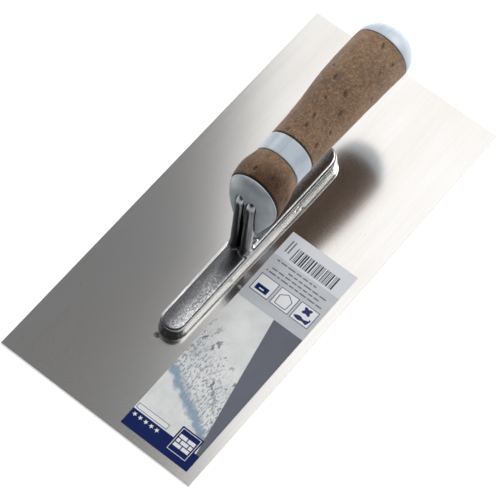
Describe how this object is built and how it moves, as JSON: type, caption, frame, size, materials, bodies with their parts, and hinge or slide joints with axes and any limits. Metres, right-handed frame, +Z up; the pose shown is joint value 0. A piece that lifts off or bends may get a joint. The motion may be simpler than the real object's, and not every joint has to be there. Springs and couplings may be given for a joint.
{
  "type": "finishing trowel",
  "caption": "Rectangular steel plastering trowel: thin flat blade on a cast bar, whose ribbed neck carries a leather and plastic handle above the blade.",
  "frame": {"origin": "middle of the blade's underside", "axes": "+X along the blade towards the free rear end of the handle, +Y across the blade, +Z up from the working face to the handle"},
  "size_m": [0.28, 0.13, 0.0835],
  "materials": {
    "blade_steel": "fine rolling lines along the blade",
    "label_film": "satin printed film",
    "fastener_steel": "zinc plated",
    "cast_aluminium": "polished casting with a grainy surface",
    "handle_plastic": "satin, light blue-grey",
    "grip_leather": "matt brown with dark pores",
    "seam_rubber": "matt dark brown"
  },
  "bodies": {
    "root": {"blade": "blade_steel", "blade_label": "label_film", "blade_rivet_1": "fastener_steel", "blade_rivet_2": "fastener_steel", "blade_rivet_3": "fastener_steel", "blade_rivet_4": "fastener_steel", "blade_rivet_5": "fastener_steel", "blade_rivet_6": "fastener_steel", "blade_rivet_7": "fastener_steel", "shank_casting": "cast_aluminium", "handle_nose": "handle_plastic", "handle_core": "handle_plastic", "nose_seam_ring": "seam_rubber", "front_grip_sleeve": "grip_leather", "handle_collar": "handle_plastic", "collar_seam_ring": "seam_rubber", "rear_grip_sleeve": "grip_leather", "handle_end_cap": "handle_plastic", "screw_washer": "fastener_steel", "handle_screw": "fastener_steel"}
  },
  "joints": []
}
